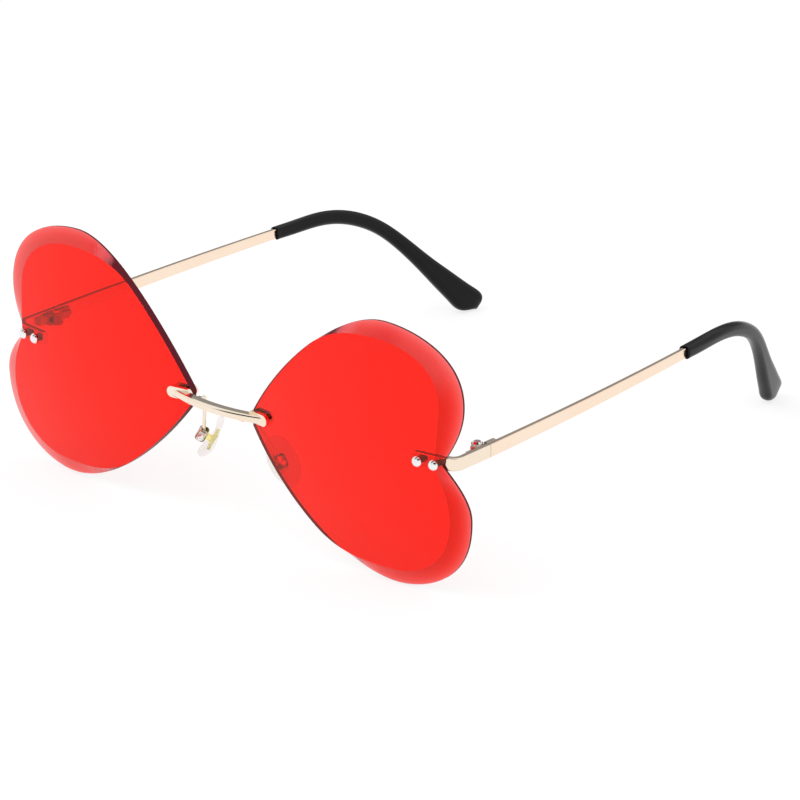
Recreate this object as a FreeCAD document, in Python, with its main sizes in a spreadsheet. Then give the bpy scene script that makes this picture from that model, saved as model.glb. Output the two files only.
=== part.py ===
import FreeCAD, Part
import math
import os

# Rimless sunglasses with heart shaped lenses that lie on their sides, points towards the nose.
# +X is the wearer's left, the front faces -Y, the temples run along +Y, and the floor is z = 0.
# The left side is modelled, and the right side is its mirror image.

Vector = FreeCAD.Vector
Placement = FreeCAD.Placement
Rotation = FreeCAD.Rotation

SIZES = {
    # heart outline: reach is outward from the cut tip, height and depth are from the tip's middle
    "lens_gap": 18.6,
    "tip_height": 3.5,
    "cleft_reach": 52.9,
    "cleft_height": 2.4,
    "upper_tip_angle": 58.2,
    "upper_top_reach": 35.7,
    "upper_height": 30.5,
    "upper_lobe_reach": 57.4,
    "upper_lobe_height": 14.7,
    "lower_tip_angle": 54.2,
    "lower_top_reach": 39.8,
    "lower_depth": 28.6,
    "lower_lobe_reach": 59.7,
    "lower_lobe_depth": 9.1,
    # fullness of the outline's curves, as shares of each span
    "side_start_fullness": 0.36,
    "side_end_fullness": 0.33,
    "shoulder_fullness": 0.33,
    "lobe_fullness": 0.80,
    "return_fullness": 0.50,
    "cleft_fullness": 0.06,
    # lens body and the facet ground on its front round the lobes, from a share of the nose side on
    "lens_thickness": 1.8,
    "edge_thickness": 0.5,
    "curve_radius": 165.0,
    "vertex_reach": 26.5,
    "facet_start": 0.5,
    "facet_upper_reach": 4.9,
    "facet_upper_height": 3.4,
    "facet_lower_reach": 4.1,
    "facet_lower_depth": 3.6,
    "facet_cleft": 0.9,
    # rivets that hold each endpiece to its lens, inset from the cleft
    "rivet_inset": 1.2,
    "rivet_pitch": 4.1,
    "rivet_head_radius": 1.2,
    "rivet_head_height": 0.75,
    "rivet_shank_radius": 0.55,
    "rivet_tail_radius": 0.85,
    "rivet_tail_height": 0.35,
    "bush_wall": 0.3,
    "fit_gap": 0.02,
    "seat_gap": 0.12,
    # endpiece and temple bar
    "arm_height": 2.5,
    "bar_height": 3.0,
    "bar_thickness": 1.4,
    "bar_edge_radius": 0.25,
    "endpiece_overlap": 3.8,
    "endpiece_bend_radius": 1.6,
    "temple_offset": 3.1,
    "seam_back": 15.95,
    "seam_gap": 0.08,
    # hinge
    "hinge_setback": 0.95,
    "knuckle_radius": 1.35,
    "knuckle_gap": 0.25,
    "hinge_height": 2.9,
    "hinge_middle_height": 1.1,
    "hinge_side_gap": 0.05,
    "hinge_plate_thickness": 1.0,
    "hinge_plate_length": 3.0,
    "hinge_front_plate_height": 1.9,
    "hinge_temple_plate_height": 2.7,
    "hinge_leaf_root": 0.7,
    "hinge_screw_radius": 0.6,
    "hinge_screw_clearance": 0.05,
    "hinge_head_radius": 1.05,
    "hinge_head_height": 0.45,
    "screw_slot_width": 0.3,
    "screw_slot_depth": 0.25,
    # temple and its black tip
    "temple_length": 73.0,
    "temple_curve_radius": 980.0,
    "temple_rise": 0.5,
    "temple_end_height": 2.4,
    "temple_end_thickness": 1.2,
    "core_height": 1.9,
    "core_thickness": 1.0,
    "core_length": 11.0,
    "sleeve_height": 3.0,
    "sleeve_thickness": 2.9,
    "sleeve_rise": 0.05,
    "sleeve_corner_radius": 1.0,
    "mouth_depth": 0.7,
    "mouth_gap": 0.2,
    "tip_straight": 12.4,
    "tip_bend_radius": 35.0,
    "tip_drop_angle": 48.3,
    "tip_inward_tilt": 19.5,
    "tip_twist": 14.0,
    "tip_bend_height": 3.5,
    "tip_flare_height": 7.7,
    "tip_flare_thickness": 3.35,
    "tip_flare_length": 24.5,
    "tip_corner_radius": 1.5,
    # bridge bar, its studs, lugs and back plates
    "bridge_rise": 0.95,
    "bridge_height": 1.8,
    "bridge_drop": 0.4,
    "paddle_height": 2.6,
    "paddle_drop": 0.2,
    "bridge_overlap": 5.5,
    "paddle_length": 1.3,
    "bridge_thickness": 2.2,
    "paddle_end_thickness": 1.0,
    "paddle_root": 0.6,
    "bridge_bow": 2.2,
    "bridge_round": 0.75,
    "stud_reach": 3.4,
    "stud_radius": 0.6,
    "stud_tail": 0.25,
    "plate_length": 5.7,
    "plate_height": 2.3,
    "plate_inset": 1.0,
    "plate_thickness": 0.6,
    "lug_inset": 1.8,
    "lug_drop": 0.75,
    "lug_width": 1.2,
    "lug_height": 1.1,
    "lug_length": 1.8,
    # nose pads and what carries them
    "pad_arm_radius": 0.42,
    "pad_arm_root": 0.3,
    "pad_arm_bend": 1.2,
    "pad_side": 12.2,
    "pad_back": 8.8,
    "pad_drop": 11.5,
    "pad_flare_angle": 34.0,
    "pad_splay_angle": 33.0,
    "box_length": 3.4,
    "box_width": 2.6,
    "box_depth": 2.4,
    "box_floor": 0.5,
    "box_round": 0.75,
    "slot_width": 1.2,
    "tongue_side_gap": 0.1,
    "tongue_radius": 0.65,
    "tongue_reach": 3.1,
    "insert_length": 4.6,
    "insert_width": 2.6,
    "insert_thickness": 0.7,
    "pad_screw_radius": 0.4,
    "pad_screw_clearance": 0.05,
    "pad_screw_head_radius": 0.8,
    "pad_screw_head_height": 0.4,
    "pad_length": 12.2,
    "pad_width": 7.4,
    "pad_thickness": 1.2,
    "pad_curve_radius": 14.0,
    "pad_set_back": 0.7,
    "pad_round": 0.6,
}

# A rounding takes less than half of the wall that it rounds
WALL_SHARE = 0.45

doc = FreeCAD.newDocument("heart_sunglasses")
sheet = doc.addObject("Spreadsheet::Sheet", "Sizes")
for row, (alias, value) in enumerate(SIZES.items(), start=1):
    sheet.set(f"A{row}", alias)
    sheet.set(f"B{row}", str(value))
    sheet.setAlias(f"B{row}", alias)
doc.recompute()


def size(alias):
    return float(sheet.get(alias))


def bind(item, **expressions):
    """Bind properties of a document object to cells of the sheet."""
    for prop, expression in expressions.items():
        item.setExpression(prop, expression)
    return item


def solid(kind, name, place=None, **expressions):
    item = bind(doc.addObject(kind, name), **expressions)
    if place is not None:
        item.Placement = place
    return item


def shaped(name, shape):
    item = doc.addObject("Part::Feature", name)
    item.Shape = shape
    return item


def joined(name, items):
    item = doc.addObject("Part::MultiFuse", name)
    item.Shapes = items
    return item


def cut(name, base, tools):
    item = doc.addObject("Part::Cut", name)
    item.Base = base
    item.Tool = tools[0] if len(tools) == 1 else joined(name + "_tools", tools)
    return item


def mirrored(name, source):
    item = doc.addObject("Part::Mirroring", name)
    item.Source = source
    item.Normal = Vector(1, 0, 0)
    return item


def common(name, base, tool):
    item = doc.addObject("Part::Common", name)
    item.Base = base
    item.Tool = tool
    return item


def within(radius, *walls):
    """A rounding radius, limited by the walls that it rounds."""
    return min([size(radius)] + [size(wall) * WALL_SHARE for wall in walls])


def origin_plane(body, role):
    return next(plane for plane in body.Origin.OriginFeatures if plane.Role == role)


def sketched(name, role, edges):
    """A body with one sketch of the given edges on one of its origin planes."""
    body = doc.addObject("PartDesign::Body", name)
    sketch = body.newObject("Sketcher::SketchObject", name + "_outline")
    sketch.AttachmentSupport = [(origin_plane(body, role), "")]
    sketch.MapMode = "FlatFace"
    sketch.addGeometry(edges, False)
    return body, sketch


def padded(name, role, edges, length):
    body, sketch = sketched(name, role, edges)
    pad = body.newObject("PartDesign::Pad", name + "_pad")
    pad.Profile = sketch
    pad.Midplane = True
    pad.setExpression("Length", length)
    return body, pad


def turned(name, edges):
    """A body turned about the Y axis from a half outline in its XY plane."""
    body, sketch = sketched(name, "XY_Plane", edges)
    turn = body.newObject("PartDesign::Revolution", name + "_turn")
    turn.Profile = sketch
    turn.ReferenceAxis = (sketch, ["V_Axis"])
    turn.Angle = 360.0
    return body


def line(start, end):
    return Part.LineSegment(start, end)


def polyline(points):
    return [line(a, b) for a, b in zip(points, points[1:])]


def arc_about(centre, radius, first, last):
    """Arc in the XY plane from one angle to another, in radians, anticlockwise."""
    circle = Part.Circle(centre, Vector(0, 0, 1), radius)
    return Part.ArcOfCircle(circle, first, last)


# Places that several pieces share

TIP_X = size("lens_gap") / 2
AXIS_Z = size("lower_depth")
ARM_Z = AXIS_Z + size("arm_height")
LENS_CENTRE = Vector(TIP_X + size("vertex_reach"), size("curve_radius"), AXIS_Z)
TEMPLE_OUTER_X = TIP_X + size("cleft_reach") + size("temple_offset")
TEMPLE_INNER_X = TEMPLE_OUTER_X - size("bar_thickness")
HINGE_X = TEMPLE_INNER_X - size("knuckle_gap") - size("knuckle_radius")
HINGE_Y = size("seam_back") - size("hinge_setback")


def lens_tilt(reach):
    """How far the lens front has turned back at a reach from the tip, in radians."""
    return math.asin((reach - size("vertex_reach")) / size("curve_radius"))


def lens_frame(reach, height):
    """Frame on the lens front: local X runs outward along it, local Y goes back through it."""
    radius = size("curve_radius")
    side = reach - size("vertex_reach")
    depth = radius - math.sqrt(radius ** 2 - side ** 2 - height ** 2)
    turn = Rotation(Vector(0, 0, 1), math.degrees(lens_tilt(reach)))
    return Placement(Vector(TIP_X + reach, depth, AXIS_Z + height), turn)


RIVET_REACH = size("cleft_reach") - size("rivet_inset") - size("rivet_pitch") / 2
RIVET_FRAME = lens_frame(RIVET_REACH, size("arm_height"))
STUD_FRAME = lens_frame(size("stud_reach"), size("bridge_rise"))


def shifted(frame, x=0.0, y=0.0, z=0.0):
    return frame.multiply(Placement(Vector(x, y, z), Rotation()))


def along_y(frame, x=0.0, y=0.0, z=0.0):
    """Placement that turns a cylinder's axis from local Z to local +Y."""
    return frame.multiply(Placement(Vector(x, y, z), Rotation(Vector(1, 0, 0), -90)))


def rivet_frames():
    half = size("rivet_pitch") / 2
    return [shifted(RIVET_FRAME, x=-half), shifted(RIVET_FRAME, x=half)]


# Lens


def split_curve(poles, share):
    """Poles of the two parts of a Bezier curve, before and after a share of it."""
    before = []
    after = []
    while poles:
        before.append(poles[0])
        after.insert(0, poles[-1])
        poles = [between(a, b, share) for a, b in zip(poles, poles[1:])]
    return before, after


def heart_half(sign, cleft_reach, prefix, down, less_reach, less_height):
    """Edges of one half of the outline, from the tip to the cleft. sign is 1 above the axis."""
    tip = Vector(0, 0, size("tip_height") / 2)
    crest = Vector(size(prefix + "_top_reach"), 0, size(prefix + "_" + down))
    drop = Vector(0, 0, less_height)
    top = crest - drop
    lobe = Vector(size(prefix + "_lobe_reach") - less_reach, 0, size(prefix + "_lobe_" + down))
    cleft = Vector(cleft_reach, 0, sign * size("cleft_height"))
    angle = math.radians(size(prefix + "_tip_angle"))
    chord = (crest - tip).Length * size("side_start_fullness")
    along = Vector(math.cos(angle), 0, math.sin(angle)) * chord
    fall = lobe.z - cleft.z
    level = crest - Vector(crest.x * size("side_end_fullness"), 0, 0)
    side, brow = split_curve([tip, tip + along, level, crest], size("facet_start"))
    spans = [
        side, brow[:2] + [brow[2] - drop, top],
        [top, top + Vector((lobe.x - top.x) * size("shoulder_fullness"), 0, 0),
         lobe + Vector(0, 0, (top.z - lobe.z) * size("lobe_fullness")), lobe],
        [lobe, lobe - Vector(0, 0, fall * size("return_fullness")),
         cleft + Vector(0, 0, fall * size("cleft_fullness")), cleft],
    ]
    edges = []
    for poles in spans:
        curve = Part.BezierCurve()
        curve.setPoles([Vector(TIP_X + p.x, 0, AXIS_Z + sign * p.z) for p in poles])
        edges.append(curve.toShape())
    return edges


def heart_outline(faceted):
    """Closed outline of the lens, or of the line where the front facet starts."""
    share = 1.0 if faceted else 0.0
    cleft = size("cleft_reach") - share * size("facet_cleft")
    upper = heart_half(1, cleft, "upper", "height",
                       share * size("facet_upper_reach"), share * size("facet_upper_height"))
    lower = heart_half(-1, cleft, "lower", "depth",
                       share * size("facet_lower_reach"), share * size("facet_lower_depth"))
    half = size("tip_height") / 2
    tip = Part.makeLine(Vector(TIP_X, 0, AXIS_Z - half), Vector(TIP_X, 0, AXIS_Z + half))
    return upper + lower[::-1] + [tip]


def sphere_patch(outline, depth):
    """The part of the lens sphere, a depth behind its front, that lies inside an outline."""
    room = size("lens_thickness") + size("curve_radius") / 10
    face = Part.Face(Part.Wire(Part.__sortEdges__(outline)))
    face.translate(Vector(0, -size("lens_thickness"), 0))
    prism = face.extrude(Vector(0, room, 0))
    sphere = Part.makeSphere(size("curve_radius") - depth, LENS_CENTRE)
    return sphere.Faces[0].common(prism).Faces[0]


def flat_middle(edge):
    middle = edge.valueAt((edge.FirstParameter + edge.LastParameter) / 2)
    return Vector(middle.x, 0, middle.z)


def edges_in_order(patch, outline):
    """The patch's edges, sorted to match the outline's."""
    return [min(patch.Edges, key=lambda edge: (flat_middle(edge) - flat_middle(flat)).Length)
            for flat in outline]


def lens_blank():
    facet_depth = size("lens_thickness") - size("edge_thickness")
    inner = heart_outline(True)
    outer = heart_outline(False)
    front = sphere_patch(inner, 0)
    rim = sphere_patch(outer, facet_depth)
    back = sphere_patch(outer, size("lens_thickness"))
    front_edges = edges_in_order(front, inner)
    rim_edges = edges_in_order(rim, outer)
    back_edges = edges_in_order(back, outer)
    faces = [front, back]
    for first, middle, last in zip(front_edges, rim_edges, back_edges):
        faces.append(Part.makeRuledSurface(first, middle).Faces[0])
        faces.append(Part.makeRuledSurface(middle, last).Faces[0])
    skin = Part.makeCompound(faces)
    skin.sewShape()
    blank = Part.makeSolid(skin.Shells[0])
    if blank.Volume < 0:
        blank.reverse()
    return blank


def lens():
    through = "Sizes.lens_thickness * 5"
    start = -2 * size("lens_thickness")
    drills = []
    for index, frame in enumerate(rivet_frames()):
        drills.append(solid("Part::Cylinder", f"rivet_drill_{index}", along_y(frame, y=start),
                            Radius="Sizes.rivet_shank_radius + Sizes.bush_wall", Height=through))
    drills.append(solid("Part::Cylinder", "stud_drill", along_y(STUD_FRAME, y=start),
                        Radius="Sizes.stud_radius + Sizes.bush_wall", Height=through))
    return cut("lens_left", shaped("lens_blank", lens_blank()), drills)


# Rivets and bushes


def ring(name, frame, radius, wall_gap):
    """A clear bush in a lens hole, a little shorter than the lens is thick."""
    inset = size("fit_gap") * 2
    place = along_y(frame, y=inset)
    outside = solid("Part::Cylinder", name + "_outside", place,
                    Radius=f"Sizes.{radius} + Sizes.bush_wall - Sizes.{wall_gap}",
                    Height="Sizes.lens_thickness - 4 * Sizes.fit_gap")
    bore = solid("Part::Cylinder", name + "_bore", along_y(frame, y=-inset),
                 Radius=f"Sizes.{radius} + Sizes.{wall_gap}", Height="Sizes.lens_thickness * 2")
    return cut(name, outside, [bore])


def grouped(name, items):
    group = doc.addObject("Part::Compound", name)
    group.Links = items
    return group


def rivet(name):
    """Dome head on the lens front, shank through lens and endpiece, upset tail behind."""
    head = size("rivet_head_radius")
    crown = -size("fit_gap") - size("rivet_head_height")
    seat = -size("fit_gap")
    shank = size("rivet_shank_radius")
    tail = size("rivet_tail_radius")
    back = size("lens_thickness") + size("seat_gap") + size("bar_thickness") + size("fit_gap")
    end = back + size("rivet_tail_height")
    rim = seat - size("rivet_head_height") / 4
    slant = math.sqrt(0.5)
    shoulder = Vector(head * slant, rim + (crown - rim) * slant, 0)
    dome = Part.Arc(Vector(0, crown, 0), shoulder, Vector(head, rim, 0))
    points = [Vector(head, rim, 0), Vector(head, seat, 0), Vector(shank, seat, 0),
              Vector(shank, back, 0), Vector(tail, back, 0), Vector(tail, end, 0),
              Vector(0, end, 0), Vector(0, crown, 0)]
    return turned(name, [dome] + polyline(points))


def rivets_and_bushes():
    rivets = []
    bushes = []
    for index, frame in enumerate(rivet_frames()):
        body = rivet(f"rivet_{index}")
        body.Placement = frame
        rivets.append(body)
        bushes.append(ring(f"rivet_bush_{index}", frame, "rivet_shank_radius", "fit_gap"))
    return [grouped("lens_rivets_left", rivets), grouped("rivet_bushes_left", bushes)]


# Endpiece


def endpiece():
    """Strip behind the lens cleft that bends back to the hinge seam."""
    tilt = lens_tilt(RIVET_REACH)
    along = Vector(math.cos(tilt), math.sin(tilt), 0)
    behind = Vector(-math.sin(tilt), math.cos(tilt), 0)
    thick = size("bar_thickness")
    outer = size("endpiece_bend_radius") + thick
    inner = size("endpiece_bend_radius")
    front = RIVET_FRAME.Base + behind * (size("lens_thickness") + size("seat_gap"))
    front.z = 0
    run = (TEMPLE_OUTER_X - outer + outer * math.sin(tilt) - front.x) / math.cos(tilt)
    bend = front + along * run + behind * outer
    start = front - along * size("endpiece_overlap")
    seam = size("seam_back")
    first = tilt - math.pi / 2
    edges = [
        line(start, front + along * run),
        arc_about(bend, outer, first, 0),
        line(Vector(TEMPLE_OUTER_X, bend.y, 0), Vector(TEMPLE_OUTER_X, seam, 0)),
        line(Vector(TEMPLE_OUTER_X, seam, 0), Vector(TEMPLE_INNER_X, seam, 0)),
        line(Vector(TEMPLE_INNER_X, seam, 0), Vector(TEMPLE_INNER_X, bend.y, 0)),
        arc_about(bend, inner, first, 0),
        line(front + along * run + behind * thick, start + behind * thick),
        line(start + behind * thick, start),
    ]
    body, pad = padded("endpiece_strip", "XY_Plane", edges, "Sizes.bar_height")
    body.Placement = Placement(Vector(0, 0, ARM_Z), Rotation())
    doc.recompute()
    long_edges = [f"Edge{i}" for i, edge in enumerate(pad.Shape.Edges, start=1)
                  if abs(edge.tangentAt(edge.FirstParameter).z) < 0.5
                  and abs(edge.CenterOfMass.y - seam) > size("bar_edge_radius")]
    rounding = body.newObject("PartDesign::Fillet", "endpiece_edges")
    rounding.Base = (pad, long_edges)
    rounding.setExpression("Radius", f"min(Sizes.bar_edge_radius; Sizes.bar_thickness * {WALL_SHARE};"
                                     f" Sizes.bar_height * {WALL_SHARE})")
    holes = [solid("Part::Cylinder", f"endpiece_hole_{index}", along_y(frame),
                   Radius="Sizes.rivet_shank_radius + Sizes.fit_gap",
                   Height="(Sizes.lens_thickness + Sizes.bar_thickness) * 2")
             for index, frame in enumerate(rivet_frames())]
    return cut("endpiece_left", body, holes)


# Hinge


def upright(x, y, z):
    return Placement(Vector(x, y, z), Rotation())


def hinge_bore(name, radius):
    return solid("Part::Cylinder", name, upright(HINGE_X, HINGE_Y, ARM_Z - size("hinge_height")),
                 Radius=radius, Height="Sizes.hinge_height * 2")


def hinge_front():
    """Plate on the endpiece's inner face with an upper and a lower knuckle."""
    leaf_height = "(Sizes.hinge_height - Sizes.hinge_middle_height) / 2 - Sizes.hinge_side_gap"
    reach = "Sizes.hinge_leaf_root + Sizes.knuckle_radius + Sizes.knuckle_gap"
    bottom = ARM_Z - size("hinge_height") / 2
    plate_x = TEMPLE_INNER_X - size("fit_gap") - size("hinge_plate_thickness")
    leaf_y = HINGE_Y - size("knuckle_radius") - size("knuckle_gap") - size("hinge_leaf_root")
    plate_y = leaf_y + size("hinge_leaf_root") - size("hinge_plate_length")
    plate_z = ARM_Z - size("hinge_front_plate_height") / 2
    pieces = [solid("Part::Box", "hinge_front_plate", upright(plate_x, plate_y, plate_z),
                    Length="Sizes.hinge_plate_thickness", Width="Sizes.hinge_plate_length",
                    Height="Sizes.hinge_front_plate_height")]
    upper = ARM_Z + size("hinge_middle_height") / 2 + size("hinge_side_gap")
    for level, z in (("lower", bottom), ("upper", upper)):
        pieces.append(solid("Part::Cylinder", f"hinge_{level}_knuckle", upright(HINGE_X, HINGE_Y, z),
                            Radius="Sizes.knuckle_radius", Height=leaf_height))
        pieces.append(solid("Part::Box", f"hinge_{level}_leaf", upright(HINGE_X, leaf_y, z),
                            Length="Sizes.knuckle_radius + Sizes.knuckle_gap - Sizes.fit_gap",
                            Width=reach, Height=leaf_height))
    bore = hinge_bore("hinge_front_bore", "Sizes.hinge_screw_radius + Sizes.fit_gap")
    return cut("hinge_front_left", joined("hinge_front_blank", pieces), [bore])


def hinge_temple():
    """Plate on the temple's inner face with the middle knuckle."""
    bottom = ARM_Z - size("hinge_temple_plate_height") / 2
    middle = ARM_Z - size("hinge_middle_height") / 2
    plate_x = TEMPLE_INNER_X - 2 * size("fit_gap") - size("hinge_plate_thickness")
    plate_y = HINGE_Y + size("knuckle_radius") + size("knuckle_gap")
    pieces = [
        solid("Part::Box", "hinge_temple_plate", upright(plate_x, plate_y, bottom),
              Length="Sizes.hinge_plate_thickness", Width="Sizes.hinge_plate_length",
              Height="Sizes.hinge_temple_plate_height"),
        solid("Part::Cylinder", "hinge_middle_knuckle", upright(HINGE_X, HINGE_Y, middle),
              Radius="Sizes.knuckle_radius", Height="Sizes.hinge_middle_height"),
        solid("Part::Box", "hinge_middle_leaf", upright(HINGE_X, HINGE_Y, middle),
              Length="Sizes.knuckle_radius", Height="Sizes.hinge_middle_height",
              Width="Sizes.hinge_plate_length + Sizes.knuckle_radius + Sizes.knuckle_gap"),
    ]
    bore = hinge_bore("hinge_temple_bore", "Sizes.hinge_screw_radius + Sizes.hinge_screw_clearance")
    return cut("hinge_temple_left", joined("hinge_temple_blank", pieces), [bore])


def screw_slot(name, place, length):
    """Bar that cuts a driver slot; the place is the middle of the slot's floor, local Z outward."""
    half = size(length)
    shift = Placement(Vector(-half, -size("screw_slot_width") / 2, -size("screw_slot_depth")), Rotation())
    return solid("Part::Box", name, place.multiply(shift), Length=f"Sizes.{length} * 2",
                 Width="Sizes.screw_slot_width", Height="Sizes.screw_slot_depth * 2")


def hinge_screw():
    top = ARM_Z + size("hinge_height") / 2
    bottom = ARM_Z - size("hinge_height") / 2
    shank = solid("Part::Cylinder", "hinge_shank", upright(HINGE_X, HINGE_Y, bottom),
                  Radius="Sizes.hinge_screw_radius", Height="Sizes.hinge_height + Sizes.fit_gap")
    seat = top + size("fit_gap")
    head = solid("Part::Cone", "hinge_screw_head", upright(HINGE_X, HINGE_Y, seat),
                 Radius1="Sizes.hinge_head_radius",
                 Radius2="Sizes.hinge_head_radius - Sizes.hinge_head_height / 2",
                 Height="Sizes.hinge_head_height")
    slot = screw_slot("hinge_screw_slot", upright(HINGE_X, HINGE_Y, seat + size("hinge_head_height")),
                      "hinge_head_radius")
    return cut("hinge_screw_left", joined("hinge_screw_blank", [shank, head]), [slot])


# Temple and tip


def rounded_section(frame, thickness, height, radius):
    """Rounded rectangle across a frame's local Y axis, thickness along X and height along Z."""
    x = thickness / 2
    z = height / 2
    corner = min(radius, thickness * WALL_SHARE, height * WALL_SHARE)
    bulge = corner * (1 - math.sqrt(0.5))
    edges = []
    corners = [(1, -1), (1, 1), (-1, 1), (-1, -1)]
    for index, (a, b) in enumerate(corners):
        horizontal = Vector(a * (x - corner), 0, b * z)
        vertical = Vector(a * x, 0, b * (z - corner))
        middle = Vector(a * (x - bulge), 0, b * (z - bulge))
        first, last = (horizontal, vertical) if a * b < 0 else (vertical, horizontal)
        edges.append(Part.Arc(first, middle, last).toShape())
        c, d = corners[(index + 1) % 4]
        following = Vector(c * x, 0, d * (z - corner)) if c * d > 0 else Vector(c * (x - corner), 0, d * z)
        edges.append(Part.makeLine(last, following))
    wire = Part.Wire(edges)
    wire.Placement = frame
    return wire


def temple_frame(distance, lift=0.0):
    """Frame on the temple's middle line, a distance behind the seam, local Y along it."""
    radius = size("temple_curve_radius")
    angle = distance / radius
    x = TEMPLE_OUTER_X - size("bar_thickness") / 2 - radius * (1 - math.cos(angle))
    y = size("seam_back") + radius * math.sin(angle)
    z = ARM_Z + size("temple_rise") * distance / size("temple_length") + lift
    return Placement(Vector(x, y, z), Rotation(Vector(0, 0, 1), math.degrees(angle)))


def between(first, last, share):
    return first + (last - first) * share


def straight_bar(start, length, thickness, height, radius):
    """Straight rounded bar along the temple's heading at its end."""
    frame = temple_frame(size("temple_length")).multiply(Placement(Vector(0, start, 0), Rotation()))
    heading = frame.Rotation.multVec(Vector(0, length, 0))
    return Part.Face(rounded_section(frame, thickness, height, radius)).extrude(heading)


def core(grow):
    """The temple's core inside the tip, grown all round by a gap."""
    return straight_bar(0.0, size("core_length") + grow, size("core_thickness") + 2 * grow,
                        size("core_height") + 2 * grow, size("bar_edge_radius") + grow)


def temple():
    """Flat bar that tapers towards the tip and goes on as a core inside it."""
    wires = []
    for share in (0.0, 0.33, 0.67, 1.0):
        distance = between(size("seam_gap"), size("temple_length") + size("mouth_depth"), share)
        thickness = between(size("bar_thickness"), size("temple_end_thickness"), share)
        height = between(size("bar_height"), size("temple_end_height"), share)
        wires.append(rounded_section(temple_frame(distance), thickness, height, size("bar_edge_radius")))
    bar = Part.makeLoft(wires, True, False)
    return shaped("temple_left", bar.fuse(core(0.0)).removeSplitter())


def tip_frame(distance, total):
    """Frame on the tip's middle line: along the temple, round the bend, then down the leg."""
    straight = size("tip_straight")
    lift = size("sleeve_rise")
    tilt = size("tip_inward_tilt") * min(distance / straight, 1.0)
    roll = Rotation(Vector(0, 1, 0), tilt)
    if distance <= straight:
        frame = temple_frame(size("temple_length") + distance, lift)
        return frame.multiply(Placement(Vector(), roll))
    radius = size("tip_bend_radius")
    drop = math.radians(size("tip_drop_angle"))
    bend = min((distance - straight) / radius, drop)
    rest = distance - straight - radius * bend
    along = radius * math.sin(bend) + rest * math.cos(bend)
    fall = radius * (1 - math.cos(bend)) + rest * math.sin(bend)
    start = temple_frame(size("temple_length") + straight, lift).multiply(Placement(Vector(), roll))
    pitch = Rotation(Vector(1, 0, 0), -math.degrees(bend))
    share = (distance - straight) / (total - straight)
    twist = Rotation(Vector(0, 1, 0), -size("tip_twist") * share)
    return start.multiply(Placement(Vector(0, along, -fall), pitch.multiply(twist)))


# The flared end, as shares of the flare's length, half height and thickness: distance from the end,
# how far the heel goes up from the middle line, how far the toe goes down from it, and thickness
FLARE = [(0.75, 0.61, 0.61, 0.93), (0.5, 0.75, 0.75, 0.97), (0.3, 0.86, 0.85, 1.0),
         (0.2, 0.93, 0.88, 1.0), (0.14, 0.98, 0.78, 0.98), (0.09, 1.0, 0.57, 0.94),
         (0.04, 0.95, 0.28, 0.78), (0.0, 0.66, 0.08, 0.42)]


def tip_outside(leg):
    straight = size("tip_straight")
    bend = size("tip_bend_radius") * math.radians(size("tip_drop_angle"))
    total = straight + bend + leg
    mouth = (size("sleeve_height"), size("sleeve_thickness"))
    elbow = (size("tip_bend_height"), size("sleeve_thickness"))
    stations = [(0.0,) + mouth,
                (straight * 0.25, between(mouth[0], elbow[0], 0.2), mouth[1]),
                (straight * 0.6, between(mouth[0], elbow[0], 0.5), mouth[1]),
                (straight, between(mouth[0], elbow[0], 0.8), mouth[1]),
                (straight + bend / 4, between(mouth[0], elbow[0], 0.95), mouth[1]),
                (straight + bend / 2,) + elbow,
                (straight + bend * 0.75,) + elbow,
                (straight + bend, between(elbow[0], size("tip_flare_height"), 0.05), elbow[1])]
    corner = size("tip_corner_radius")
    wires = []
    for distance, height, thickness in stations:
        share = min(distance / (straight + bend / 2), 1.0)
        wires.append(rounded_section(tip_frame(distance, total), thickness, height,
                                     between(size("sleeve_corner_radius"), corner, share)))
    half = size("tip_flare_height") / 2
    for back, heel, toe, thickness in FLARE:
        frame = tip_frame(total - back * size("tip_flare_length"), total)
        middle = shifted(frame, z=(heel - toe) / 2 * half)
        wires.append(rounded_section(middle, thickness * size("tip_flare_thickness"),
                                     (heel + toe) * half, corner))
    return Part.makeLoft(wires, True, False)


def temple_tip():
    """Sleeve whose leg is as long as it needs to be to stand on the same floor as the lenses."""
    slope = math.sin(math.radians(size("tip_drop_angle"))) * math.cos(math.radians(size("tip_inward_tilt")))
    leg = ARM_Z / slope - size("tip_flare_height") / 2
    for step in range(3):
        outside = tip_outside(leg)
        leg += outside.optimalBoundingBox(False).ZMin / slope
    outside = tip_outside(leg)
    gap = size("mouth_gap")
    depth = size("mouth_depth")
    mouth = straight_bar(-depth, 2 * depth + gap / 2, size("temple_end_thickness") + 2 * gap,
                         size("temple_end_height") + 2 * gap, size("bar_edge_radius") + gap)
    bore = core(size("fit_gap"))
    return shaped("temple_tip_left", outside.cut([mouth, bore]))


# Bridge


def round_ended(name, start_x, end_x, height, z):
    """Prism from front to back whose front view is a bar with round ends."""
    cap = size(height) / 2
    first = start_x + cap
    last = end_x - cap
    outline = [line(Vector(first, -cap, 0), Vector(last, -cap, 0)),
               arc_about(Vector(last, 0, 0), cap, -math.pi / 2, math.pi / 2),
               line(Vector(last, cap, 0), Vector(first, cap, 0)),
               arc_about(Vector(first, 0, 0), cap, math.pi / 2, 3 * math.pi / 2)]
    prism, pad = padded(name, "XZ_Plane", outline, "Sizes.bridge_overlap * 4")
    prism.Placement = upright(0, 0, z)
    return prism


def paddle_point(x, depth):
    """Point a depth in front of the plane on which the bridge seats on the left lens, in plan."""
    slope = math.tan(lens_tilt(size("stud_reach")))
    seat = STUD_FRAME.Base.y - size("fit_gap")
    return Vector(x, seat + (x - STUD_FRAME.Base.x) * slope - depth, 0)


BRIDGE_END_X = TIP_X + size("bridge_overlap")
BOW_END = paddle_point(BRIDGE_END_X - size("paddle_length"), size("paddle_end_thickness"))
BOW_RADIUS = (BOW_END.x ** 2 + size("bridge_bow") ** 2) / (2 * size("bridge_bow"))
BOW_CENTRE_Y = BOW_END.y - size("bridge_bow") + BOW_RADIUS


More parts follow.
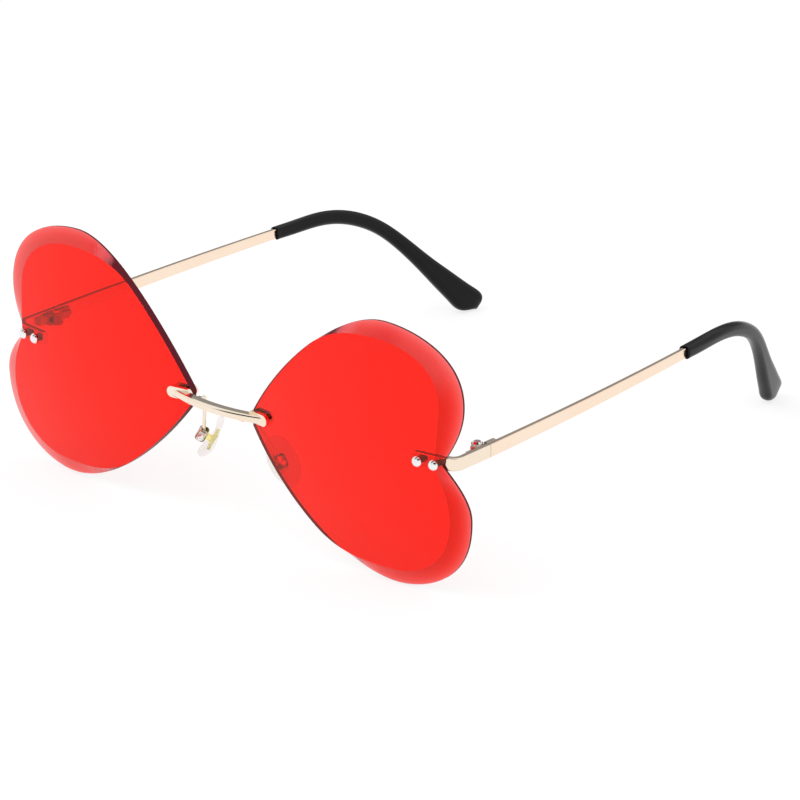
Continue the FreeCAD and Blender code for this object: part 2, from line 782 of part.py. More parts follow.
def plan_block(name, points, height):
    """Upright prism on a closed outline in plan, at the bridge's level."""
    block, pad = padded(name, "XY_Plane", polyline(points + points[:1]), height)
    block.Placement = upright(0, 0, AXIS_Z + size("bridge_rise"))
    return block


def bridge_bar():
    """Bar across the front: a bowed middle that runs down onto a thin paddle seated on each lens."""
    centre_z = AXIS_Z + size("bridge_rise")
    low_z = centre_z - size("bridge_drop")
    thick = size("paddle_end_thickness")
    inner_x = TIP_X - size("paddle_root")
    room = -2 * size("bridge_thickness")
    middle = bridge_middle(BOW_RADIUS, math.degrees(2 * math.asin(BOW_END.x / BOW_RADIUS)))
    middle.Placement = upright(0, BOW_CENTRE_Y, low_z)
    middle = common("bridge_bow_bar", middle,
                    round_ended("bow_outline", -BOW_END.x, BOW_END.x, "bridge_height", low_z))
    behind = [paddle_point(inner_x, 0), paddle_point(BRIDGE_END_X, 0),
              paddle_point(BRIDGE_END_X, room), paddle_point(inner_x, room)]
    lens_room = plan_block("lens_room", behind, "Sizes.paddle_height * 2")
    middle = cut("bridge_seated_bar", middle, [lens_room, mirrored("lens_room_mirror", lens_room)])
    seated = [paddle_point(inner_x, thick), paddle_point(BRIDGE_END_X, thick),
              paddle_point(BRIDGE_END_X, 0), paddle_point(inner_x, 0)]
    paddle = common("paddle", plan_block("paddle_blank", seated, "Sizes.paddle_height * 2"),
                    round_ended("paddle_outline", inner_x, BRIDGE_END_X, "paddle_height",
                                centre_z - size("paddle_drop")))
    return joined("bridge_bar", [middle, paddle, mirrored("paddle_mirror", paddle)])


def bridge_middle(radius, angle):
    """Bowed middle of the bridge, turned about an upright axis behind it, front corners rounded."""
    corner = within("bridge_round", "bridge_height", "bridge_thickness")
    front = -radius
    back = front + size("bridge_thickness")
    half = size("bridge_height") / 2
    quarter = math.pi / 2
    edges = [arc_about(Vector(front + corner, corner - half, 0), corner, 2 * quarter, 3 * quarter),
             line(Vector(front, corner - half, 0), Vector(front, half - corner, 0)),
             arc_about(Vector(front + corner, half - corner, 0), corner, quarter, 2 * quarter)]
    edges += polyline([Vector(front + corner, half, 0), Vector(back, half, 0),
                       Vector(back, -half, 0), Vector(front + corner, -half, 0)])
    body, sketch = sketched("bridge_middle", "YZ_Plane", edges)
    turn = body.newObject("PartDesign::Revolution", "bridge_middle_turn")
    turn.Profile = sketch
    turn.ReferenceAxis = (sketch, ["V_Axis"])
    turn.Angle = angle
    turn.Midplane = True
    return body


LUG_END = Vector(TIP_X - size("lug_inset"), STUD_FRAME.Base.y + size("lug_length"),
                 AXIS_Z + size("bridge_rise") - size("bridge_drop") - size("lug_drop"))


def bridge():
    bar = bridge_bar()
    stud = solid("Part::Cylinder", "stud", along_y(STUD_FRAME, y=-size("paddle_end_thickness") / 2),
                 Radius="Sizes.stud_radius",
                 Height="Sizes.paddle_end_thickness / 2 + Sizes.lens_thickness + Sizes.seat_gap"
                        " + Sizes.plate_thickness + Sizes.stud_tail")
    front_y = BOW_CENTRE_Y - math.sqrt(BOW_RADIUS ** 2 - LUG_END.x ** 2)
    root = LUG_END.y - front_y - size("bridge_thickness") / 2
    corner = LUG_END - Vector(size("lug_width") / 2, root, size("lug_height") / 2)
    lug = solid("Part::Box", "lug", Placement(corner, Rotation()), Length="Sizes.lug_width",
                Height="Sizes.lug_height")
    lug.Width = root
    pieces = [bar, stud, mirrored("stud_mirror", stud), lug, mirrored("lug_mirror", lug)]
    return joined("bridge", pieces)


def bridge_plate():
    """Rounded plate behind the lens, held by the stud."""
    half = size("plate_length") / 2 - size("plate_height") / 2
    inset = -size("plate_inset")
    front = size("lens_thickness") + size("seat_gap")
    low = -size("plate_height") / 2
    pieces = [solid("Part::Box", "plate_middle", shifted(STUD_FRAME, x=inset - half, y=front, z=low),
                    Length="Sizes.plate_length - Sizes.plate_height", Width="Sizes.plate_thickness",
                    Height="Sizes.plate_height")]
    for index, x in enumerate((inset - half, inset + half)):
        pieces.append(solid("Part::Cylinder", f"plate_end_{index}", along_y(STUD_FRAME, x=x, y=front),
                            Radius="Sizes.plate_height / 2", Height="Sizes.plate_thickness"))
    bore = solid("Part::Cylinder", "plate_bore", along_y(STUD_FRAME),
                 Radius="Sizes.stud_radius + Sizes.fit_gap", Height="Sizes.lens_thickness * 4")
    return cut("bridge_plate_left", joined("plate_blank", pieces), [bore])


# Nose pads: local X points to the nose, local Y to the front, local Z up along the pad

PAD_TURN = Rotation(Vector(0, 1, 0), -size("pad_flare_angle"))
PAD_TURN = PAD_TURN.multiply(Rotation(Vector(0, 0, 1), 180 - size("pad_splay_angle")))
PAD_FRAME = Placement(Vector(size("pad_side"), size("pad_back"), AXIS_Z - size("pad_drop")), PAD_TURN)
SLOT_FLOOR = -size("tongue_radius") - size("tongue_side_gap")


def rounded(name, base, radius):
    """Round every edge of a piece."""
    doc.recompute()
    item = doc.addObject("Part::Fillet", name)
    item.Base = base
    item.Edges = [(index + 1, radius, radius) for index in range(len(base.Shape.Edges))]
    return item


def pad_box_blank():
    back = SLOT_FLOOR - size("box_floor")
    block = solid("Part::Box", "box_block",
                  shifted(PAD_FRAME, x=back, y=-size("box_width") / 2, z=-size("box_length") / 2),
                  Length="Sizes.box_depth", Width="Sizes.box_width", Height="Sizes.box_length")
    return rounded("box_blank", block, within("box_round", "box_depth", "box_width", "box_length"))


def pad_box(blank):
    slot = solid("Part::Box", "box_slot",
                 shifted(PAD_FRAME, x=SLOT_FLOOR, y=-size("slot_width") / 2, z=-size("box_length")),
                 Length="Sizes.box_depth * 2", Width="Sizes.slot_width", Height="Sizes.box_length * 2")
    bore = solid("Part::Cylinder", "box_bore", along_y(PAD_FRAME, y=-size("box_width")),
                 Radius="Sizes.pad_screw_radius + Sizes.fit_gap", Height="Sizes.box_width * 2")
    return cut("pad_box_left", blank, [slot, bore])


def pad_screw():
    half = size("box_width") / 2
    shank = solid("Part::Cylinder", "pad_shank", along_y(PAD_FRAME, y=-half),
                  Radius="Sizes.pad_screw_radius", Height="Sizes.box_width + Sizes.fit_gap")
    head = solid("Part::Cone", "pad_screw_head", along_y(PAD_FRAME, y=half + size("fit_gap")),
                 Radius1="Sizes.pad_screw_head_radius",
                 Radius2="Sizes.pad_screw_head_radius - Sizes.pad_screw_head_height / 2",
                 Height="Sizes.pad_screw_head_height")
    top = along_y(PAD_FRAME, y=half + size("fit_gap") + size("pad_screw_head_height"))
    slot = screw_slot("pad_screw_slot", top, "pad_screw_head_radius")
    return cut("pad_screw_left", joined("pad_screw_blank", [shank, head]), [slot])


def pad_insert():
    """Tongue that turns on the screw, with a flat foot moulded into the pad."""
    thickness = "Sizes.slot_width - 2 * Sizes.tongue_side_gap"
    half = size("slot_width") / 2 - size("tongue_side_gap")
    eye = solid("Part::Cylinder", "tongue_eye", along_y(PAD_FRAME, y=-half),
                Radius="Sizes.tongue_radius", Height=thickness)
    stem = solid("Part::Box", "tongue_stem", shifted(PAD_FRAME, y=-half, z=-size("tongue_radius")),
                 Length="Sizes.tongue_reach", Width=thickness, Height="Sizes.tongue_radius * 2")
    foot = solid("Part::Box", "tongue_foot",
                 shifted(PAD_FRAME, x=size("tongue_reach") - size("insert_thickness"),
                         y=-size("insert_width") / 2, z=-size("insert_length") / 2),
                 Length="Sizes.insert_thickness", Width="Sizes.insert_width", Height="Sizes.insert_length")
    bore = solid("Part::Cylinder", "tongue_bore", along_y(PAD_FRAME, y=-size("box_width")),
                 Radius="Sizes.pad_screw_radius + Sizes.pad_screw_clearance", Height="Sizes.box_width * 2")
    blank = joined("tongue_blank", [eye, stem, foot])
    return cut("pad_insert_left", blank, [bore]), blank


def nose_pad(tongue):
    """Oval silicone pad, bowed towards the nose and moulded round the insert's foot."""
    oval = Part.Ellipse(Vector(), size("pad_length") / 2, size("pad_width") / 2).toShape()
    oval = Part.Face(Part.Wire([oval]))
    prism = oval.extrude(Vector(0, 0, size("pad_length")))
    stand = Placement(Vector(), Rotation(Vector(0, 0, 1), Vector(1, 0, 0)))
    prism.Placement = stand.multiply(Placement(Vector(0, 0, -size("pad_length") / 2), Rotation()))
    prism.translate(Vector(0, -size("pad_set_back"), 0))
    front = size("tongue_reach") + size("pad_thickness") - size("insert_thickness")
    outer = size("pad_curve_radius")
    inner = outer - size("pad_thickness")
    centre = Vector(front - outer, -size("pad_width"), 0)
    across = Vector(0, 1, 0)
    shell = Part.makeCylinder(outer, size("pad_width") * 2, centre, across)
    shell = shell.cut(Part.makeCylinder(inner, size("pad_width") * 2, centre, across))
    keep = Part.makeBox(size("pad_length"), size("pad_length") * 2, size("pad_length") * 2,
                        Vector(front - size("pad_length") / 2, -size("pad_length"), -size("pad_length")))
    body = shell.common(prism).common(keep)
    body = body.makeFillet(within("pad_round", "pad_thickness"), body.Edges)
    blank = shaped("nose_pad_blank", body)
    blank.Placement = PAD_FRAME
    return cut("nose_pad_left", blank, [tongue])


def pad_arm(box):
    """Wire from the bridge's lug, round one bend, to the top of the pad box."""
    root = LUG_END + Vector(0, size("fit_gap"), 0)
    back = Vector(0, 1, 0)
    end = PAD_FRAME.multVec(Vector(0, 0, size("box_length") / 4))
    corner = root + back * (size("pad_arm_root") + size("pad_arm_bend"))
    down = (end - corner).normalize()
    turn = math.acos(back.dot(down))
    inset = size("pad_arm_bend") * math.tan(turn / 2)
    first = corner - back * inset
    last = corner + down * inset
    inward = (down - back).normalize()
    apex = corner + inward * (size("pad_arm_bend") / math.cos(turn / 2) - size("pad_arm_bend"))
    bend = Part.Arc(first, apex, last).toShape()
    path = Part.Wire([Part.makeLine(root, first), bend, Part.makeLine(last, end)])
    section = Part.Wire([Part.makeCircle(size("pad_arm_radius"), root, back)])
    wire = shaped("pad_wire", path.makePipeShell([section], True, False))
    return cut("pad_arm_left", wire, [box])


def left_side():
    insert, tongue = pad_insert()
    box_blank = pad_box_blank()
    pieces = [lens(), endpiece(), hinge_front(), hinge_temple(), hinge_screw(), temple(), temple_tip(),
              bridge_plate(), ring("bridge_bush_left", STUD_FRAME, "stud_radius", "fit_gap"),
              pad_arm(box_blank), pad_box(box_blank), pad_screw(), insert, nose_pad(tongue)]
    return pieces + rivets_and_bushes()


def check(items):
    for item in items:
        if {"Invalid", "Error"} & set(item.State):
            raise RuntimeError(f"{item.Name} failed: {item.State}")


left = left_side()
right = [mirrored(item.Name.replace("_left", "_right"), item) for item in left]
centre = bridge()
parts = [centre] + left + right
doc.recompute()

# The origin is the middle of the object's footprint
box = Part.makeCompound([part.Shape for part in parts]).optimalBoundingBox(False)
middle = Placement(Vector(0, -(box.YMin + box.YMax) / 2, 0), Rotation())
for part in [centre] + left:
    part.Placement = middle.multiply(part.Placement)
doc.recompute()
check(doc.Objects)

os.makedirs("parts", exist_ok=True)
for part in parts:
    part.Label = part.Name
    if part.Shape.isNull() or not part.Shape.isValid():
        raise RuntimeError(f"{part.Name} has no valid shape")
    part.Shape.exportStep(f"parts/{part.Label}.step")
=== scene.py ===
import math

import bpy
from mathutils import Matrix, Vector


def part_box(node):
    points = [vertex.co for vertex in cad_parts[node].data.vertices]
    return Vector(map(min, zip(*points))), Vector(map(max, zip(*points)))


# Heart shaped sunglasses on a white sweep: red see-through lenses, champagne gold metal, black tips.
# Everything is in metres, in the part's own frame: +X is the wearer's left and the front faces -Y.

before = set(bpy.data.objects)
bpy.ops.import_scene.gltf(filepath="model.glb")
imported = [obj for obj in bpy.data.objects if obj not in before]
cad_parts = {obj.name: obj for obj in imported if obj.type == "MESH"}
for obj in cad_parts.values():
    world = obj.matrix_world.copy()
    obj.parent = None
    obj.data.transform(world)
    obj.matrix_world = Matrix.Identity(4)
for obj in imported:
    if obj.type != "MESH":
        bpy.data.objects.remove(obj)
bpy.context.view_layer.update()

MM = 0.001
SIDES = ("left", "right")

# The photograph's view
CAMERA_AZIMUTH = math.radians(40.438)
CAMERA_ELEVATION = math.radians(21.538)
CAMERA_DISTANCE = 1.02993
CAMERA_TARGET = Vector((0.03041, -0.04602, 0.03066))
CAMERA_LENS = 210.75
CAMERA_SENSOR = 36.0

# Floor and surrounding light
FLOOR_REACH = 12.0
FLOOR_DROP = 0.05 * MM
FLOOR_SHADE = 0.28
FLOOR_GLOW = 0.78
FLOOR_BOUNCE = 0.80
AMBIENT = 0.72

# Lamps: azimuth and elevation in degrees, distance, width, power in watts
KEY_LAMP = (-35, 55, 1.2, 0.7, 2.6)
FILL_LAMP = (60, 50, 1.3, 0.9, 1.6)

# Dark cards that only mirrors see: azimuth, elevation, half width and half height in degrees, darkness
BACK_CARD = (220, 19, 70, 22, 0.70)
BRIDGE_CARD = (327, 58, 16, 48, 0.99)
CAMERA_CARD = (45, 40, 40, 26, 0.97)
# Share of a card's reach that is fully dark, before its soft edge, and a place past that edge
CARD_CORE = 0.55
PAST_CARD = 2.0

# Lens: radius of its front, where the front comes nearest (from the cut tip and from the floor),
# thickness in the middle and at the rim, refraction and strength of the dye
LENS_RADIUS = 165.0 * MM
LENS_VERTEX_REACH = 26.5 * MM
LENS_AXIS_HEIGHT = 28.6 * MM
LENS_THICKNESS = 1.8 * MM
LENS_EDGE = 0.5 * MM
LENS_IOR = 1.41
DYE_DENSITY = 4300.0

# Where the lens's dark side wall and its steep facet end, from the cut tip, and how far each fades
NOSE_SIDE = 23.0 * MM
NOSE_FADE = 5.0 * MM
LOBE_SIDE = 34.0 * MM
LOBE_FADE = 8.0 * MM

# Cosine of the angle between a lens face and the front's curve there, over which each kind of face fades in
FACET_TURN = (0.985, 0.996)
STEEP_TURN = (0.80, 0.95)
WALL_TURN = (0.60, 0.91)
RIM_TURN = (0.35, 0.60)
# Upward part of a facet's normal, from none to all of the top facets' painted sheen
TOP_RISE = (0.1, 0.35)

# How much of the lens's facets is painted sheen (a pale haze in place of reflected light), and how
# see-through and rough the lens's faces are
STEEP_SHEEN = 0.42
TOP_SHEEN = 0.07
EDGE_CLEARNESS = 0.2
POLISH_ROUGHNESS = 0.015
FACET_ROUGHNESS = 0.05
EDGE_ROUGHNESS = 0.3

# Range of a noise that is spread over a finish, and the depth of the fine relief on metal and plastic
NOISE_RANGE = (0.3, 0.7)
PLATE_RELIEF = 0.0004 * MM
SKIN_RELIEF = 0.0003 * MM

# Scales per metre of the gold's streaks, along each axis, and of its drift in tone (on the pad boxes,
# patches of painted dark reflection)
GRAIN_ALONG_X = (400, 9000, 9000)
GRAIN_ALONG_Y = (9000, 400, 9000)
GRAIN_SMALL = (3000, 3000, 3000)
GRAIN_HINGE = (2500, 2500, 2500)
GOLD_DRIFT = 45
BOX_REFLECTION_PATCHES = 650
HINGE_DRIFT = 300

# Sockets of the Mix node when it mixes colours
MIX_SHARE, MIX_FIRST, MIX_LAST, MIX_RESULT = 0, 6, 7, 2


# Node helpers


class Nodes:
    """Short ways to add and join nodes in a tree."""

    def __init__(self, tree):
        self.tree = tree

    def add(self, kind, **inputs):
        node = self.tree.nodes.new(kind)
        for name, value in inputs.items():
            self.feed(node.inputs[name.replace("_", " ")], value)
        return node

    def feed(self, socket, value):
        if isinstance(value, bpy.types.NodeSocket):
            self.tree.links.new(value, socket)
        else:
            socket.default_value = value

    def math(self, operation, *values):
        node = self.tree.nodes.new("ShaderNodeMath")
        node.operation = operation
        for index, value in enumerate(values):
            self.feed(node.inputs[index], value)
        return node.outputs[0]

    def vector(self, operation, *values):
        node = self.tree.nodes.new("ShaderNodeVectorMath")
        node.operation = operation
        for index, value in enumerate(values):
            self.feed(node.inputs[index], value)
        return node

    def dot(self, first, last):
        return self.vector("DOT_PRODUCT", first, last).outputs["Value"]

    def length(self, value):
        return self.vector("LENGTH", value).outputs["Value"]

    def spread(self, value, low, high, first, last):
        """Map a value from one range to another, smoothly, held at the ends."""
        node = self.add("ShaderNodeMapRange", Value=value, From_Min=low, From_Max=high,
                        To_Min=first, To_Max=last)
        node.interpolation_type = "SMOOTHSTEP"
        return node.outputs["Result"]

    def mix(self, share, first, last):
        """Mix two shaders."""
        node = self.tree.nodes.new("ShaderNodeMixShader")
        for index, value in enumerate((share, first.outputs[0], last.outputs[0])):
            self.tree.links.new(value, node.inputs[index])
        return node


class Shader(Nodes):
    """A new material with its Principled shader."""

    def __init__(self, name):
        self.material = bpy.data.materials.new(name)
        self.material.use_nodes = True
        super().__init__(self.material.node_tree)
        self.surface = self.tree.nodes["Principled BSDF"]
        self.output = self.tree.nodes["Material Output"]

    def set(self, **values):
        """Set plain values on the Principled shader's own sockets."""
        for name, value in values.items():
            self.surface.inputs[name.replace("_", " ")].default_value = value

    def drive(self, name, socket):
        self.tree.links.new(socket, self.surface.inputs[name])

    def place(self, scale):
        """The part's own coordinates, stretched by a scale per axis."""
        coords = self.tree.nodes.new("ShaderNodeTexCoord")
        return self.vector("MULTIPLY", coords.outputs["Object"], Vector(scale)).outputs["Vector"]

    def noise(self, scale, detail=3.0, roughness=0.5):
        """Noise with a scale per axis."""
        node = self.add("ShaderNodeTexNoise", Vector=self.place(scale), Scale=1.0,
                        Detail=detail, Roughness=roughness)
        return node.outputs["Fac"]

    def even_noise(self, scale, detail=3.0):
        """Noise with one scale on all axes."""
        return self.noise((scale, scale, scale), detail)

    def ramp(self, noise, first, last):
        """A noise's middle range, mapped to a range of values."""
        return self.spread(noise, *NOISE_RANGE, first, last)

    def blend(self, share, first, last):
        """Mix two colours."""
        node = self.tree.nodes.new("ShaderNodeMix")
        node.data_type = "RGBA"
        self.feed(node.inputs[MIX_SHARE], share)
        self.feed(node.inputs[MIX_FIRST], first)
        self.feed(node.inputs[MIX_LAST], last)
        return node.outputs[MIX_RESULT]

    def bump(self, height, depth):
        node = self.add("ShaderNodeBump", Height=height, Distance=depth, Strength=1.0)
        self.drive("Normal", node.outputs["Normal"])


def colour(red, green, blue):
    return (red, green, blue, 1.0)


# Lens


class LensFaces(Shader):
    """A lens material with masks, 0 to 1, for its facet, the facet's steep and top stretches, and its edge.

    Depth is how far a point lies behind the curve of the front.
    """

    def __init__(self, side):
        super().__init__("lens_red_" + side)
        low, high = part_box("lens_" + side)
        sign = 1 if side == "left" else -1
        tip_x = min(abs(low.x), abs(high.x))
        centre = Vector((sign * (tip_x + LENS_VERTEX_REACH), low.y + LENS_RADIUS, LENS_AXIS_HEIGHT))
        geometry = self.tree.nodes.new("ShaderNodeNewGeometry")
        spoke = self.vector("SUBTRACT", geometry.outputs["Position"], centre).outputs["Vector"]
        spoke_way = self.vector("NORMALIZE", spoke).outputs["Vector"]
        normal = geometry.outputs["True Normal"]
        turn = self.math("ABSOLUTE", self.dot(normal, spoke_way))
        reach = self.dot(geometry.outputs["Position"], Vector((sign, 0.0, 0.0)))
        nose_side = self.up_to(reach, tip_x + NOSE_SIDE, NOSE_FADE)
        inner = self.up_to(reach, tip_x + LOBE_SIDE, LOBE_FADE)
        self.depth = self.math("SUBTRACT", LENS_RADIUS, self.length(spoke))
        self.facet = self.below(turn, FACET_TURN)
        self.steep = self.math("MULTIPLY", inner, self.below(turn, STEEP_TURN))
        rise = self.spread(self.dot(normal, Vector((0.0, 0.0, 1.0))), *TOP_RISE, 0.0, 1.0)
        self.top = self.math("MULTIPLY", self.facet, rise)
        wall = self.math("MULTIPLY", nose_side, self.below(turn, WALL_TURN))
        self.edge = self.math("MAXIMUM", self.below(turn, RIM_TURN), wall)

    def below(self, value, limits):
        """1 under a range of values and 0 over it."""
        return self.spread(value, *limits, 1.0, 0.0)

    def up_to(self, reach, limit, fade):
        """1 up to a limit and 0 past its fade."""
        return self.spread(reach, limit, limit + fade, 1.0, 0.0)


def lens_material(side):
    """Dyed polycarbonate: clear front and back, a honed facet round the lobes and a dull dark edge; the
    facet's colour is painted sheen, paler towards the rim and on its steep and upward stretches.
    """
    lens = LensFaces(side)
    clouds = lens.even_noise(60, detail=2.0)
    body = lens.blend(clouds, colour(1.0, 0.99, 0.98), colour(0.99, 1.0, 0.99))
    # Painted sheen: the facet's colour is a pale haze in place of reflected light, paler towards the rim,
    # mauve on the steep stretch
    across = lens.spread(lens.depth, 0.0, LENS_THICKNESS - LENS_EDGE, 0.0, 1.0)
    facet_sheen_colour = lens.blend(across, colour(0.64, 0.60, 0.60), colour(0.92, 0.66, 0.68))
    steep_sheen_colour = lens.blend(lens.steep, facet_sheen_colour, colour(0.80, 0.24, 0.28))
    cut = lens.blend(lens.facet, body, steep_sheen_colour)
    lens.drive("Base Color", lens.blend(lens.edge, cut, colour(0.13, 0.014, 0.026)))
    polish = lens.ramp(lens.even_noise(900), 0.0, POLISH_ROUGHNESS)
    dull = lens.math("MULTIPLY", lens.facet, FACET_ROUGHNESS)
    matt = lens.math("MULTIPLY", lens.edge, EDGE_ROUGHNESS)
    lens.drive("Roughness", lens.math("ADD", polish, lens.math("ADD", dull, matt)))
    # Painted sheen: the steep and upward facet stretches let less light through and show more of that pale
    # colour
    steep_sheen = lens.math("MULTIPLY", lens.steep, STEEP_SHEEN)
    top_sheen = lens.math("MULTIPLY", lens.top, TOP_SHEEN)
    clear_of_sheen = lens.math("SUBTRACT", 1.0, lens.math("MAXIMUM", steep_sheen, top_sheen))
    clear = lens.spread(lens.edge, 0.0, 1.0, 1.0, EDGE_CLEARNESS)
    lens.drive("Transmission Weight", lens.math("MULTIPLY", clear, clear_of_sheen))
    lens.set(IOR=LENS_IOR, Specular_IOR_Level=0.06, Specular_Tint=colour(1.0, 0.82, 0.55))
    dye = lens.add("ShaderNodeVolumeAbsorption", Color=colour(0.9975, 0.26, 0.25), Density=DYE_DENSITY)
    lens.tree.links.new(dye.outputs["Volume"], lens.output.inputs["Volume"])
    return lens.material


# Other materials


def gold_material(name, grain, pale, deep, polish, drift=GOLD_DRIFT):
    """Champagne gold plate with fine streaks along the piece and a tone that drifts over it; on the pad
    boxes that tone runs down to near black, as painted dark reflections.
    """
    shader = Shader(name)
    tone = shader.ramp(shader.even_noise(drift, detail=4.0), 0.0, 1.0)
    shader.drive("Base Color", shader.blend(tone, pale, deep))
    streaks = shader.noise(grain, detail=4.0, roughness=0.6)
    shader.drive("Roughness", shader.ramp(streaks, polish, 2 * polish))
    shader.bump(streaks, PLATE_RELIEF)
    shader.set(Metallic=1.0)
    return shader.material


def silver_material():
    """Silver coloured metal, a little worn."""
    shader = Shader("silver_metal_worn")
    tone = shader.even_noise(500, detail=4.0)
    shader.drive("Base Color", shader.blend(tone, colour(0.80, 0.80, 0.80), colour(0.92, 0.91, 0.90)))
    shader.drive("Roughness", shader.ramp(shader.even_noise(2500), 0.04, 0.12))
    shader.set(Metallic=1.0)
    return shader.material


def black_material():
    """Moulded plastic, glossy black with a fine skin."""
    shader = Shader("black_plastic_gloss")
    tone = shader.even_noise(250, detail=5.0)
    shade = shader.blend(tone, colour(0.003, 0.003, 0.0035), colour(0.006, 0.006, 0.007))
    shader.drive("Base Color", shade)
    skin = shader.even_noise(6000, detail=4.0)
    shader.drive("Roughness", shader.ramp(skin, 0.15, 0.23))
    shader.bump(skin, SKIN_RELIEF)
    shader.set(IOR=1.27)
    return shader.material


def silicone_material():
    """Thin clear silicone, seen as a faint cream film."""
    shader = Shader("clear_silicone_soft")
    tone = shader.even_noise(300)
    shader.drive("Base Color", shader.blend(tone, colour(0.99, 0.95, 0.88), colour(1.0, 0.98, 0.94)))
    shader.drive("Roughness", shader.ramp(shader.even_noise(1500), 0.18, 0.30))
    shader.set(Alpha=0.2, IOR=1.41)
    return shader.material


def yellow_material():
    """See-through yellow plastic of the pads' tongues."""
    shader = Shader("pad_yellow_tint")
    tone = shader.even_noise(400)
    shader.drive("Base Color", shader.blend(tone, colour(1.0, 0.90, 0.30), colour(1.0, 0.96, 0.48)))
    shader.drive("Roughness", shader.ramp(shader.even_noise(1500), 0.12, 0.25))
    shader.set(Transmission_Weight=1.0, IOR=1.2)
    return shader.material


def clear_material():
    """Clear plastic of the bushes."""
    shader = Shader("clear_plastic_bush")
    tone = shader.even_noise(400)
    shader.drive("Base Color", shader.blend(tone, colour(0.95, 0.95, 0.94), colour(0.99, 0.99, 0.99)))
    shader.drive("Roughness", shader.ramp(shader.even_noise(1500), 0.05, 0.15))
    shader.set(Transmission_Weight=0.9, IOR=1.49)
    return shader.material


def dress():
    """Give every node of the part its finish."""
    cream = colour(0.92, 0.81, 0.68)
    peach = colour(0.95, 0.75, 0.59)
    pale_peach = colour(0.95, 0.79, 0.64)
    straw = colour(0.90, 0.76, 0.61)
    along_x = gold_material("gold_metal_across", GRAIN_ALONG_X, cream, straw, 0.045)
    along_y = gold_material("gold_metal_along", GRAIN_ALONG_Y, peach, pale_peach, 0.09)
    joint = gold_material("gold_metal_joint", GRAIN_ALONG_Y, straw, cream, 0.09)
    plain = gold_material("gold_metal_small", GRAIN_SMALL, cream, straw, 0.05)
    # Pad boxes: the near black patches in their colour are painted dark reflections
    box_gold_with_painted_reflections = gold_material("gold_metal_box_painted_reflections", GRAIN_SMALL, colour(0.16, 0.13, 0.11),
                          colour(0.86, 0.76, 0.64), 0.06, BOX_REFLECTION_PATCHES)
    hinge = gold_material("gold_metal_hinge", GRAIN_HINGE, colour(0.50, 0.43, 0.37),
                          colour(0.66, 0.58, 0.50), 0.25, HINGE_DRIFT)
    silver = silver_material()
    clear = clear_material()
    finishes = {"temple": along_y, "endpiece": joint, "bridge_plate": plain, "bridge_bush": clear,
                "pad_arm": plain, "pad_box": box_gold_with_painted_reflections, "hinge_front": hinge, "hinge_temple": hinge,
                "lens_rivets": silver, "pad_screw": silver, "hinge_screw": silver,
                "temple_tip": black_material(), "nose_pad": silicone_material(),
                "pad_insert": yellow_material(), "rivet_bushes": clear}
    for side in SIDES:
        for name, material in finishes.items():
            paint(f"{name}_{side}", material)
        paint(f"lens_{side}", lens_material(side))
    paint("bridge", along_x)


def paint(node, material):
    """Put one material on all slots of a node."""
    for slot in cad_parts[node].material_slots:
        slot.material = material


# Studio


def direction(azimuth, elevation):
    """Unit vector from the object; azimuth 0 is towards the front and 90 degrees towards +X, in radians."""
    return Vector((math.sin(azimuth) * math.cos(elevation), -math.cos(azimuth) * math.cos(elevation),
                   math.sin(elevation)))


def card_share(nodes, ray, azimuth, elevation, width, height, darkness):
    """How much of a soft edged dark card a mirrored ray meets."""
    side, lift = math.radians(azimuth), math.radians(elevation)
    middle = direction(side, lift)
    across = Vector((math.cos(side), math.sin(side), 0.0))
    upward = Vector((-math.sin(side) * math.sin(lift), math.cos(side) * math.sin(lift), math.cos(lift)))
    offset = nodes.add("ShaderNodeCombineXYZ")
    spans = (across / math.sin(math.radians(width)), upward / math.sin(math.radians(height)))
    for index, span in enumerate(spans):
        nodes.feed(offset.inputs[index], nodes.dot(ray, span))
    # A ray that leaves on the far side is put past the card's end
    behind = nodes.math("GREATER_THAN", 0.0, nodes.dot(ray, middle))
    nodes.feed(offset.inputs["Z"], nodes.math("MULTIPLY", behind, PAST_CARD))
    return nodes.spread(nodes.length(offset.outputs["Vector"]), CARD_CORE, 1.0, darkness, 0.0)


def make_world():
    """White all round; mirrors also see the dark cards of a studio."""
    world = bpy.data.worlds.new("studio")
    bpy.context.scene.world = world
    world.use_nodes = True
    nodes = Nodes(world.node_tree)
    ray = nodes.add("ShaderNodeTexCoord").outputs["Generated"]
    white = colour(1.0, 1.0, 1.0)
    light = nodes.add("ShaderNodeBackground", Color=white, Strength=AMBIENT)
    seen = nodes.add("ShaderNodeBackground", Color=white, Strength=1.0)
    shade = 1.0
    for card in (BACK_CARD, BRIDGE_CARD, CAMERA_CARD):
        shade = nodes.math("SUBTRACT", shade, card_share(nodes, ray, *card))
    shade = nodes.math("MAXIMUM", shade, 0.0)
    mirrored = nodes.add("ShaderNodeBackground", Color=shade, Strength=1.0)
    path = nodes.add("ShaderNodeLightPath")
    lit = nodes.mix(path.outputs["Is Glossy Ray"], light, mirrored)
    straight = nodes.math("MAXIMUM", path.outputs["Is Camera Ray"], path.outputs["Is Transmission Ray"])
    final = nodes.mix(straight, lit, seen)
    nodes.feed(world.node_tree.nodes["World Output"].inputs["Surface"], final.outputs[0])


def grey_diffuse(nodes, level):
    return nodes.add("ShaderNodeBsdfDiffuse", Color=colour(level, level, level))


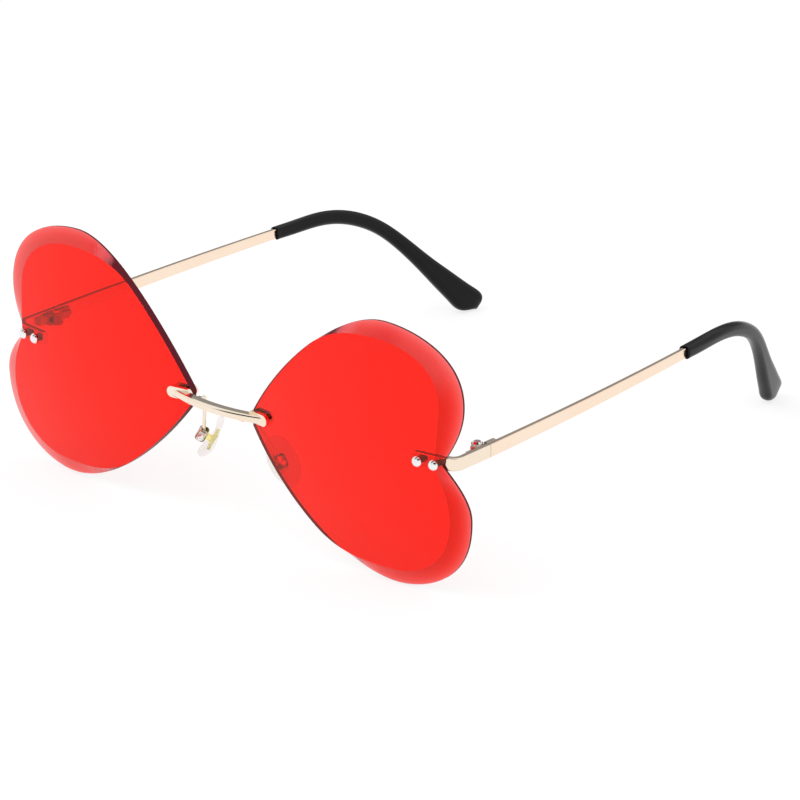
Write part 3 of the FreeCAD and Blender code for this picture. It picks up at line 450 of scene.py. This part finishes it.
def floor_material():
    """White with a shadow where it is seen or mirrored, and plain pale paint where it bounces light."""
    material = bpy.data.materials.new("white_sweep")
    material.use_nodes = True
    nodes = Nodes(material.node_tree)
    nodes.tree.nodes.remove(nodes.tree.nodes["Principled BSDF"])
    glow = nodes.add("ShaderNodeEmission", Strength=FLOOR_GLOW)
    seen = nodes.add("ShaderNodeAddShader")
    nodes.feed(seen.inputs[0], grey_diffuse(nodes, FLOOR_SHADE).outputs[0])
    nodes.feed(seen.inputs[1], glow.outputs[0])
    path = nodes.add("ShaderNodeLightPath")
    share = nodes.math("MAXIMUM", path.outputs["Is Camera Ray"], path.outputs["Is Transmission Ray"])
    share = nodes.math("MAXIMUM", share, path.outputs["Is Glossy Ray"])
    final = nodes.mix(share, grey_diffuse(nodes, FLOOR_BOUNCE), seen)
    nodes.feed(nodes.tree.nodes["Material Output"].inputs["Surface"], final.outputs[0])
    return material


def make_floor():
    """A wide white sheet just under the object."""
    corners = [(-1, -1), (1, -1), (1, 1), (-1, 1)]
    points = [(x * FLOOR_REACH, y * FLOOR_REACH, -FLOOR_DROP) for x, y in corners]
    mesh = bpy.data.meshes.new("floor")
    mesh.from_pydata(points, [], [(0, 1, 2, 3)])
    mesh.materials.append(floor_material())
    floor = bpy.data.objects.new("floor", mesh)
    bpy.context.scene.collection.objects.link(floor)


def make_lamp(name, azimuth, elevation, distance, width, power):
    """A round soft lamp that shines at the object and isn't seen in mirrors."""
    lamp = bpy.data.lights.new(name, "AREA")
    lamp.shape = "DISK"
    lamp.size = width
    lamp.energy = power
    item = bpy.data.objects.new(name, lamp)
    away = direction(math.radians(azimuth), math.radians(elevation))
    item.location = away * distance
    item.rotation_euler = away.to_track_quat("Z", "Y").to_euler()
    item.visible_glossy = False
    bpy.context.scene.collection.objects.link(item)


def make_camera():
    """The photograph's own view."""
    data = bpy.data.cameras.new("camera")
    data.lens = CAMERA_LENS
    data.sensor_width = CAMERA_SENSOR
    camera = bpy.data.objects.new("camera", data)
    back = direction(CAMERA_AZIMUTH, CAMERA_ELEVATION)
    right = Vector((math.cos(CAMERA_AZIMUTH), math.sin(CAMERA_AZIMUTH), 0.0))
    turn = Matrix((right, back.cross(right), back)).transposed()
    place = CAMERA_TARGET + back * CAMERA_DISTANCE
    camera.matrix_world = Matrix.LocRotScale(place, turn.to_quaternion(), None)
    bpy.context.scene.collection.objects.link(camera)
    bpy.context.scene.camera = camera


def make_studio():
    bpy.context.scene.view_settings.view_transform = "Standard"
    make_world()
    make_floor()
    make_lamp("key", *KEY_LAMP)
    make_lamp("fill", *FILL_LAMP)
    make_camera()


dress()
make_studio()
